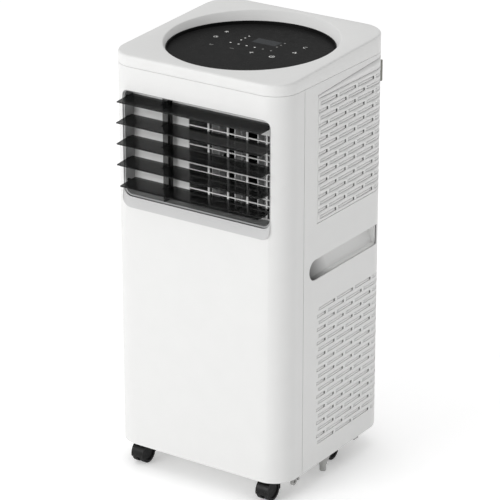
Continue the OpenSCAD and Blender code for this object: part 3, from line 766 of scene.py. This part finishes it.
def make_scoop_liner():
    """Scoop that leads into the opening from below, its pale grey a painted shade for the shadow under
    the blades.
    """
    mesh = bpy.data.meshes.new("sill_scoop_painted_shade")
    bm = bmesh.new()
    depths = [SCOOP_DEPTH * k / 4 for k in range(5)]
    rows = [[bm.verts.new(Vector(p) * MM) for p in scoop_line(depth)] for depth in depths]
    for outer, inner in zip(rows, rows[1:]):
        for i in range(len(outer) - 1):
            bm.faces.new((outer[i], outer[i + 1], inner[i + 1], inner[i]))
    bmesh.ops.recalc_face_normals(bm, faces=bm.faces)
    bm.to_mesh(mesh)
    bm.free()
    finish_piece("sill_scoop_painted_shade", mesh, "casing", scoop_painted_shade)


def make_front_panel():
    """Front and its two rounded corners, with the opening and the scoop below it."""
    arc = [FRONT_SIDE + FRONT_ARC * k / 16 for k in range(17)]
    half = [GAP] + arc + [FRONT_LENGTH / 2]
    columns = sorted({round(v, 3) for v in half + [FRONT_LENGTH - v for v in half]})
    mesh = wrap_sheet("front_panel_shell", columns, [GROUND_GAP, SEAM_Z - SEAM_GAP],
                      lambda s, band: False, path=front_point)
    panel = finish_piece("front_panel_shell", mesh, "casing", white)
    thicken(panel, WALL)
    half_width, low, high = OUTLET
    opening = outlet_outline(half_width, low, high, OUTLET_R_LOW, OUTLET_R_HIGH)
    hollow = []
    top = 0.5 * (low + high)
    wide = half_width + LINER_ROOM
    for depth in (-1, SCOOP_DEPTH + 0.2):
        y = FRONT_Y + depth
        hollow.append(scoop_line(depth, LINER_ROOM) + [(wide, y, top), (-wide, y, top)])
    cut(panel, [prism(opening, "Y", FRONT_Y - 5, FRONT_Y + 8), loft("cutter", hollow)])
    panel.data.shade_smooth()
    panel.data.set_sharp_from_angle(angle=math.radians(30))
    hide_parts("front_panel")
    make_scoop_liner()


make_front_panel()

# ------------------------------------------------------------------ printed panel


class Print:
    """Collects flat printed shapes on the control disc."""

    HEIGHT = 0.06

    def __init__(self):
        self.bm = bmesh.new()

    def shape(self, points):
        """Filled shape, raised by the print's thickness."""
        face = self.bm.faces.new([self.bm.verts.new(Vector((x, y, DISC_Z)) * MM) for x, y in points])
        raised = bmesh.ops.extrude_face_region(self.bm, geom=[face])["geom"]
        verts = [item for item in raised if isinstance(item, bmesh.types.BMVert)]
        bmesh.ops.translate(self.bm, verts=verts, vec=(0, 0, self.HEIGHT * MM))

    def dot(self, x, y, radius):
        """Round dot."""
        self.shape(circle(x, y, radius, 20))

    def bar(self, x0, y0, x1, y1, width=0.8):
        """Straight stroke from one point to another."""
        along = Vector((x1 - x0, y1 - y0)).normalized()
        side = Vector((-along.y, along.x)) * width / 2
        a, b = Vector((x0, y0)), Vector((x1, y1))
        self.shape([tuple(a - side), tuple(b - side), tuple(b + side), tuple(a + side)])

    def arc(self, x, y, radius, start, end, width=0.8):
        """Curved stroke between two angles in degrees."""
        count = max(4, int((end - start) / 15))
        turns = [math.radians(start + (end - start) * k / count) for k in range(count + 1)]
        wide = radius + width / 2
        narrow = radius - width / 2
        outer = [(x + wide * math.cos(t), y + wide * math.sin(t)) for t in turns]
        inner = [(x + narrow * math.cos(t), y + narrow * math.sin(t)) for t in turns]
        for k in range(count):
            self.shape([outer[k], outer[k + 1], inner[k + 1], inner[k]])

    def piece(self, name, material):
        """Turns the collected shapes into one piece."""
        bmesh.ops.recalc_face_normals(self.bm, faces=self.bm.faces)
        mesh = bpy.data.meshes.new(name)
        self.bm.to_mesh(mesh)
        self.bm.free()
        finish_piece(name, mesh, "casing", material)


PRINT_X = -8                            # middle of the print
SYMBOL_X = 68.5                         # from there to the symbols at each side
SYMBOL_Y = (22, 50)
ROW_Y = -11                             # front row of symbols
ROW_X = (-61, -26, 8, 43)
DOTS = 6
DOT_PITCH = 14
DOT_ROW_Y = 11
DOT_COLUMN_Y = (29.5, 40, 50.5)
LIT_DOTS = 4


def make_print():
    """Generic touch symbols round the display, and the rows of indicator dots."""
    marks = Print()
    faint = Print()
    # left: clock, snowflake; right: fan, moon
    left, right = PRINT_X - SYMBOL_X, PRINT_X + SYMBOL_X
    low, high = SYMBOL_Y
    marks.arc(left, low, 3, 0, 360)
    marks.bar(left, low, left, low + 2.2)
    marks.bar(left, low, left + 1.8, low)
    for turn in (0, 60, 120):
        dx = 3.6 * math.cos(math.radians(turn))
        dy = 3.6 * math.sin(math.radians(turn))
        marks.bar(left - dx, high - dy, left + dx, high + dy)
    for turn in (90, 210, 330):
        dx = 2.2 * math.cos(math.radians(turn))
        dy = 2.2 * math.sin(math.radians(turn))
        marks.dot(right + dx, low + dy, 1.3)
    marks.arc(right, high, 3, 60, 300)
    # front row: swing, minus, plus, power
    faint.arc(ROW_X[0], ROW_Y, 3, 200, 340)
    faint.arc(ROW_X[0], ROW_Y + 2, 3, 200, 340)
    faint.bar(ROW_X[1] - 3.4, ROW_Y, ROW_X[1] + 3.4, ROW_Y, 1)
    marks.bar(ROW_X[2] - 3.4, ROW_Y, ROW_X[2] + 3.4, ROW_Y, 1)
    marks.bar(ROW_X[2], ROW_Y - 3.4, ROW_X[2], ROW_Y + 3.4, 1)
    marks.arc(ROW_X[3], ROW_Y, 3.6, 120, 420, 1.1)
    marks.bar(ROW_X[3], ROW_Y, ROW_X[3], ROW_Y + 4.4, 1.1)
    # indicator dots: a row in front of the display and a column at each side of it
    for i in range(DOTS):
        layer = marks if i < LIT_DOTS else faint
        layer.dot(PRINT_X + DOT_PITCH * (i - 2.5), DOT_ROW_Y, 1.5)
    for y in DOT_COLUMN_Y:
        marks.dot(PRINT_X - 29, y, 1.4)
        faint.dot(PRINT_X + 33, y, 1.4)
    marks.piece("panel_print", printed)
    faint.piece("panel_print_faint", faint_print)


make_print()

# ------------------------------------------------------------------ carried-over nodes


def slot_of_nodes():
    """Material slot of each CAD node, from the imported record."""
    return {part["node"]: part["material_slot"] for part in frame["record"]["subparts"]}


# width of the softened edges, in millimetres, where it is not the usual one
USUAL_EDGE = 0.3
SOFT_EDGES = {
    "louver_frame": 0.5, "guard_grille": 0.4,
    "control_bezel": 0.4, "control_disc": 0.5, "base_pan": 0.6, "handle_cup_right": 0.8,
    "handle_cup_left": 0.8, "drain_spout": 0.6, "exhaust_collar": 0.8, "drain_plug": 0.8,
    "cord_gland": 0.6, "cover_pulls": 0.8, "air_duct": 0.5, "electrics_box": 1.0,
    "partition_tray": 0.6,
}

# finish of the nodes that differ from the rest of their material slot
NODE_FINISHES = {
    "base_pan": pan_grey, "drain_spout": pan_grey, "cover_pulls": bracket,
    "control_bezel": well, "louver_rib": clear_smoke, "louver_frame": frame_grey,
    "vane_1": vane_grey, "vane_2": vane_grey, "vane_3": vane_grey,
    # the pocket walls carry painted shade, dark grey towards their front end
    "handle_cup_right": pocket_painted_shade, "handle_cup_left": pocket_painted_shade,
}


def dress_nodes():
    """Gives every carried-over CAD node its material and softened edges."""
    slots = slot_of_nodes()
    for name, node in frame["nodes"].items():
        if node.hide_render:
            continue
        node.data.materials.clear()
        node.data.materials.append(NODE_FINISHES.get(name, FINISHES[slots[name]]))
        soften(node, SOFT_EDGES.get(name, USUAL_EDGE))


dress_nodes()

# ------------------------------------------------------------------ floor, light, camera

# brightness of the surroundings on the left and on the right, and of the lights in watts
WORLD_LEFT = 0.77
WORLD_RIGHT = 0.4
KEY_POWER = 47
TOP_POWER = 31
FLOOR_GLOW = 0.27
FLOOR_HALF = 30


def make_floor():
    """Plain pale floor that runs off beyond the view."""
    mesh = bpy.data.meshes.new("floor")
    corners = [(-1, -1), (1, -1), (1, 1), (-1, 1)]
    mesh.from_pydata([(x * FLOOR_HALF, y * FLOOR_HALF, 0) for x, y in corners], [], [(0, 1, 2, 3)])
    floor = bpy.data.objects.new("floor", mesh)
    bpy.context.scene.collection.objects.link(floor)
    shader = Shader("floor_paper", Roughness=0.9)
    shader.bsdf.inputs["Emission Color"].default_value = (1, 1, 1, 1)
    shader.bsdf.inputs["Emission Strength"].default_value = FLOOR_GLOW
    shader.colour(shader.noise(400), linear("FAFAFA"), linear("FFFFFF"))
    mesh.materials.append(shader.material)


def area_light(name, place, target, size, power):
    """Soft square light that faces a target."""
    data = bpy.data.lights.new(name, "AREA")
    data.shape = "SQUARE"
    data.size = size
    data.energy = power
    light = bpy.data.objects.new(name, data)
    bpy.context.scene.collection.objects.link(light)
    light.location = place
    aim = Vector(target) - Vector(place)
    light.rotation_euler = aim.to_track_quat("-Z", "Y").to_euler()


def make_light():
    """White surroundings that fade towards the right, and soft lights in front and above."""
    world = bpy.data.worlds.new("studio")
    bpy.context.scene.world = world
    world.use_nodes = True
    nodes = world.node_tree.nodes
    links = world.node_tree.links
    direction = nodes.new("ShaderNodeTexCoord")
    parts = nodes.new("ShaderNodeSeparateXYZ")
    fade = nodes.new("ShaderNodeMapRange")
    fade.inputs["From Min"].default_value = -0.3
    fade.inputs["From Max"].default_value = 1
    fade.inputs["To Min"].default_value = WORLD_LEFT
    fade.inputs["To Max"].default_value = WORLD_RIGHT
    links.new(direction.outputs["Generated"], parts.inputs["Vector"])
    links.new(parts.outputs["X"], fade.inputs["Value"])
    links.new(fade.outputs["Result"], nodes["Background"].inputs["Strength"])
    nodes["Background"].inputs["Color"].default_value = (1, 1, 1, 1)
    middle = (0, 0, 0.33)
    area_light("key", (-1.3, -3.6, 1.5), middle, 1.8, KEY_POWER)
    area_light("top", (0, 0.6, 4), (0, 0.6, 0), 5, TOP_POWER)
    bpy.context.scene.view_settings.view_transform = "Standard"


CAMERA_AZIMUTH = 33.97
CAMERA_ELEVATION = 22.06
CAMERA_DISTANCE = 4.08
CAMERA_TARGET = (-0.0012, -0.0008, 0.326)
CAMERA_LENS = 199.2


def make_camera():
    """Long lens, looking at the front and the right-hand side from a little above."""
    azimuth = math.radians(CAMERA_AZIMUTH)
    elevation = math.radians(CAMERA_ELEVATION)
    away = Vector((
        math.sin(azimuth) * math.cos(elevation),
        -math.cos(azimuth) * math.cos(elevation),
        math.sin(elevation),
    ))
    data = bpy.data.cameras.new("camera")
    data.lens = CAMERA_LENS
    data.sensor_width = 36
    data.clip_end = 50
    camera = bpy.data.objects.new("camera", data)
    bpy.context.scene.collection.objects.link(camera)
    camera.location = Vector(CAMERA_TARGET) + away * CAMERA_DISTANCE
    camera.rotation_euler = (-away).to_track_quat("-Z", "Y").to_euler()
    bpy.context.scene.camera = camera


make_floor()
make_light()
make_camera()
